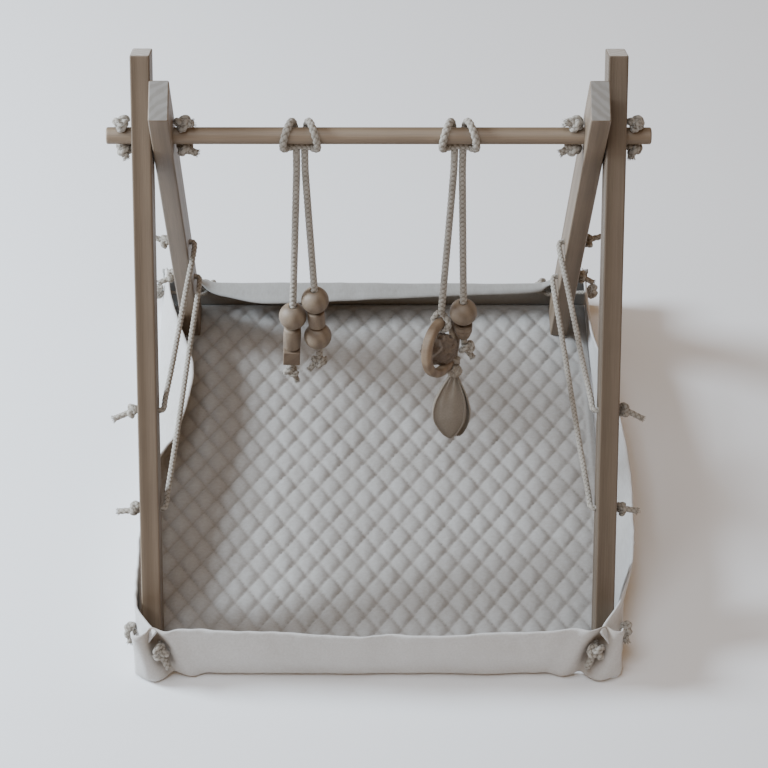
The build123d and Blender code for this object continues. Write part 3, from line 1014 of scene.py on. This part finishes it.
def cloth_wall(name, stations, steps, node, wrinkle, seed, material=CANVAS, tucks=()):
    """A standing strip of canvas. Each station is its place along the strip and the outline up its height."""
    rows = WALL_ROWS
    grid = []
    for s in range(steps + 1):
        at = stations[0][0] + (stations[-1][0] - stations[0][0]) * s / steps
        line = smooth_line([Vector(p) * MM for p in catmull(stations, at)], 16)
        grid.append(resampled(line, rows))
    grid = np.array(grid)
    along = np.gradient(grid, axis=0)
    up = np.gradient(grid, axis=1)
    normal = np.cross(along, up)
    normal /= np.linalg.norm(normal, axis=2)[..., None]
    height = np.linalg.norm(np.diff(grid, axis=1), axis=2).sum(axis=1).mean()
    run = along_line(grid[:, 0])
    moved = grid.copy()
    # Shares of painted shade round the ties' tucks, for the canvas to darken.
    deep = np.zeros(grid.shape[:2])
    for s in range(steps + 1):
        for r in range(rows + 1):
            h = height * r / rows
            free = min(1.0, (0.25 + 0.75 * h / height))
            fold = noise.noise(Vector((run[s] * 14 + seed, h * 9, seed))) * 1.2
            slant = run[s] * 24 + h * 30 * noise.noise(Vector((run[s] * 5, seed, 0)))
            fold += 0.75 * noise.noise(Vector((slant, h * 12 + seed, seed * 2)))
            fold += 0.30 * noise.noise(Vector((run[s] * 70, h * 45 + seed, seed * 3)))
            drift = 2.5 * noise.noise(Vector((run[s] * 30, 0, 0)))
            pucker = 0.16 * math.sin(run[s] * 2 * math.pi / PUCKER_PITCH + drift)
            near_hem = bell(h - (height - HEM), 3 * MM)
            drawn, swell, deep[s, r] = drawn_in(grid[s, r], tucks)
            crease = wrinkle * fold * free + 0.7 * MM * pucker * near_hem
            moved[s, r] += normal[s, r] * (crease + TUCK_SWELL * swell - TUCK_DEPTH * drawn)
    grid = moved
    verts = []
    for layer in (-1, 1):
        for s in range(steps + 1):
            for r in range(rows + 1):
                h = height * r / rows
                in_hem = 1 / (1 + math.exp(-(h - (height - HEM)) / (0.5 * MM)))
                groove = bell(h - (height - HEM), 0.7 * MM)
                roll = math.sqrt(max(0.0, 1 - max(0.0, (h - (height - EDGE)) / EDGE) ** 2))
                half = (WALL_THICK * (0.75 + 0.75 * in_hem) - 0.5 * MM * groove) * (0.45 + 0.55 * roll)
                at = grid[s, r] + normal[s, r] * half * layer
                verts.append((at[0], at[1], max(at[2], FLOOR_GAP)))
    piece = mesh_piece(name, verts, sheet_faces(rows, steps, flipped=True), material)
    # The painted shade round the ties' tucks goes on both faces of the wall.
    shaded(piece, "painted_shade", np.tile(deep.ravel(), 2))
    dress(piece, "mat", "canvas", node)
    return piece


def outline(*points):
    return np.array(points, float)


def side_station(place, base, middle, top):
    """One station of a side wall, as the (x, y, z) of its foot, middle and top."""
    return place, outline(base, ((base[0] * 3 + middle[0]) / 4, (base[1] + middle[1]) / 2, middle[2] * 0.45),
                          middle, top)


LEFT_WALL = [side_station(*row) for row in (
    (0.0, (-262, -306, 1), (-258, -307, 40), (-240, -303.5, 71)),
    (0.03, (-266, -302, 1), (-262, -300, 40), (-250, -291, 72)),
    (0.06, (-266, -288, 1), (-266, -286, 38), (-262.8, -268, 71)),
    (0.11, (-266, -250, 1), (-266.5, -248, 38), (-266, -244, 71)),
    (0.19, (-265, -205, 1), (-266.5, -205, 38), (-266.8, -204, 72)),
    (0.33, (-265, -118, 1), (-267, -118, 38), (-262.5, -116, 72)),
    (0.45, (-264, -36, 1), (-266, -34, 38), (-250, -30, 69)),
    (0.53, (-264, 12, 1), (-262, 14, 38), (-234, 12, 63)),
    (0.62, (-263, 72, 1), (-258, 74, 37), (-222, 74, 58)),
    (0.73, (-263, 138, 1), (-258, 138, 37), (-219.5, 136, 57)),
    (0.82, (-263, 196, 1), (-260, 198, 38), (-236, 196, 63)),
    (0.90, (-264, 240, 1), (-263, 242, 38), (-250, 240, 68)),
    (1.0, (-264, 298, 1), (-262, 296, 38), (-259, 294, 70)),
)]
RIGHT_WALL = [side_station(*row) for row in (
    (0.0, (262, -306, 1), (258, -308, 40), (240, -304.5, 71)),
    (0.03, (266, -302, 1), (264, -303, 40), (247, -290, 72)),
    (0.06, (267, -288, 1), (270, -284, 38), (262.5, -264, 70)),
    (0.11, (266, -256, 1), (271, -256, 38), (270, -246, 69)),
    (0.19, (266, -212, 1), (272, -212, 38), (281, -208, 67)),
    (0.33, (265, -130, 1), (273, -130, 38), (289.5, -130, 65)),
    (0.45, (265, -45, 1), (273, -45, 38), (291.5, -45, 64)),
    (0.60, (265, 50, 1), (272, 50, 38), (284, 50, 66)),
    (0.75, (265, 146, 1), (268, 146, 38), (266.5, 146, 68)),
    (0.85, (264, 205, 1), (266, 205, 38), (258.5, 205, 68)),
    (1.0, (264, 298, 1), (262, 296, 38), (257, 294, 70)),
)]


def front_station(place, x, foot_y, middle_y, top_y, top_z=75, lean=0):
    """One station of the front wall, which tucks in under itself at the floor."""
    return place, outline((x, foot_y + 6, 1.2), (x, foot_y + 0.5, 3), (x, foot_y - 1.5, 12),
                          (x + lean * 0.4, middle_y - 1, 36), (x + lean * 0.7, (middle_y + top_y) / 2, 54),
                          (x + lean, top_y, top_z))


FRONT_WALL = [front_station(*row) for row in (
    (0.0, -268, -301, -299, -298, 66, 3),
    (0.02, -266, -308, -306, -304, 67, 3),
    (0.05, -254, -314, -310, -307, 71, 2),
    (0.08, -243, -313, -306, -305.5, 73.5, 1),
    (0.11, -231, -311, -306, -305, 74.5),
    (0.15, -211, -307, -309, -305, 75),
    (0.2, -180, -306, -311, -306, 75.5),
    (0.32, -105, -306, -312.5, -309, 75),
    (0.5, 0, -306, -313, -312, 73.5),
    (0.7, 110, -306, -312, -311, 74.5),
    (0.84, 190, -306, -311, -306, 75),
    (0.89, 217, -309, -308, -304, 75),
    (0.925, 235, -313, -306, -305, 74),
    (0.955, 252, -315, -311, -307, 73, -1),
    (0.98, 265, -310, -308, -304, 71, -2),
    (1.0, 269, -301, -300, -298, 70, -3),
)]
FRONT_TUCKS = [(-239 * MM, 48 * MM, 0.34), (238 * MM, 48 * MM, -0.38)]


def rear_station(place, x, apex_y, edge_y, edge_z, apex_z=50):
    """The rear wall: up, over its apex and forward to the free hem."""
    back = 302
    return place, outline((x, back, 1), (x, back - 1.5, 20), (x, back - 5, apex_z * 0.8),
                          (x, apex_y + 5, apex_z + 1.5), (x, apex_y - 3, apex_z + 0.5),
                          (x, (apex_y + edge_y) / 2 - 2, (apex_z + edge_z) / 2), (x, edge_y, edge_z))


REAR_WALL = [rear_station(*row) for row in (
    (0.0, -263, 299, 297.5, 65, 60),
    (0.03, -247, 295, 293, 65, 59),
    (0.08, -222, 286, 282, 63, 57),
    (0.12, -203, 284, 274, 47, 51),
    (0.17, -179, 283.5, 267, 45),
    (0.25, -140, 282.5, 257, 44.5),
    (0.34, -93, 281.6, 257, 44.5),
    (0.52, 11, 280.5, 264, 45),
    (0.73, 117, 280, 270, 45.5),
    (0.88, 204, 280, 276, 47),
    (0.92, 222, 284, 281, 63, 57),
    (0.97, 247, 295, 293, 65, 59),
    (1.0, 263, 299, 297.5, 65, 60),
)]

left_wall = cloth_wall("left_border_cloth", LEFT_WALL, 300, "left_border", 2.6 * MM, 3.0)
cloth_wall("right_border_cloth", RIGHT_WALL, 300, "right_border", 2.0 * MM, 8.0)
cloth_wall("front_border_cloth", FRONT_WALL, 330, "front_border", 3.6 * MM, 13.0,
           tucks=FRONT_TUCKS)
cloth_wall("rear_border_cloth", REAR_WALL, 260, "rear_border", 1.2 * MM, 17.0, SHADED_REAR_CANVAS)
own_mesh(left_wall)


# ---------------------------------------------------------------- corner ties

TIE_ROUTES = {
    "front": [(238, -309.5, 46), (238, -300, 46), (238.5, -291, 46), (251, -282.5, 50), (262, -284, 50),
              (269, -284, 50)],
    "rear": [(207, 296.5, 36), (207, 279, 36), (243, 277, 44), (266, 277, 44)],
}


def corner_tie(end, name, hand):
    """A cord through the wall, round the leg and out of the side wall, knotted at both ends."""
    route = [mm(hand * x, y, z) for x, y, z in TIE_ROUTES[end]]
    line = smooth_line(route)
    cord = braided(f"{end}_tie_cord_{name}", line, TIE_R, sides=16, plait=3.8 * MM)
    dress(cord, "mat", "cotton_cord", f"corner_tie_{end}_{name}")
    away = -1 if end == "front" else 1
    first, last = Vector(line[0]), Vector(line[-1])
    drop = mm(-hand * 9, away * 4, -24 if end == "front" else -9)
    outer = knot(f"{end}_tie_knot_{name}", first + mm(0, away * 1.5, 0), (0, away, 0), 7.4 * MM, TIE_R * 1.45,
                 hand * 0.6, tail=first + drop, fray_seed=21 + hand)
    side = knot(f"{end}_tie_side_knot_{name}", last + mm(hand * 2.5, 0, 2), (hand, 0, 0), 6.6 * MM,
                TIE_R * 1.4, 1.1, tail=last + mm(hand * 3, 7 * away, -11), fray_seed=25 + hand)
    for piece in (outer, side):
        dress(piece, "mat", "cotton_cord")


for name, hand in HANDS.items():
    for end in ("front", "rear"):
        corner_tie(end, name, hand)


# ---------------------------------------------------------------- floor and light

def floor():
    reach = 6.0
    corners = [(-reach, -reach, 0), (reach, -reach, 0), (reach, reach, 0), (-reach, reach, 0)]
    n = Nodes("floor_paper", 0.8, specular=0.15)
    n.shader.inputs["Base Color"].default_value = (0.86, 0.86, 0.865, 1)
    mesh_piece("floor", corners, [(0, 1, 2, 3)], n.material)


def area_light(name, at, toward, size, power, colour):
    data = bpy.data.lights.new(name, "AREA")
    data.shape, data.size, data.energy, data.color = "DISK", size, power, colour
    lamp = bpy.data.objects.new(name, data)
    bpy.context.scene.collection.objects.link(lamp)
    lamp.location = at
    lamp.rotation_euler = (Vector(toward) - Vector(at)).to_track_quat("-Z", "Y").to_euler()


floor()
area_light("window", (-2.4, 0.2, 1.5), (0, 0, 0.15), 0.9, 172, (0.74, 0.87, 1.0))
area_light("overhead", (-0.6, -1.2, 3.2), (0, 0, 0), 2.0, 66, (0.78, 0.89, 1.0))
world = bpy.data.worlds.new("room")
world.use_nodes = True
world.node_tree.nodes["Background"].inputs[0].default_value = (1.0, 0.67, 0.40, 1)
world.node_tree.nodes["Background"].inputs[1].default_value = 0.36
bpy.context.scene.world = world
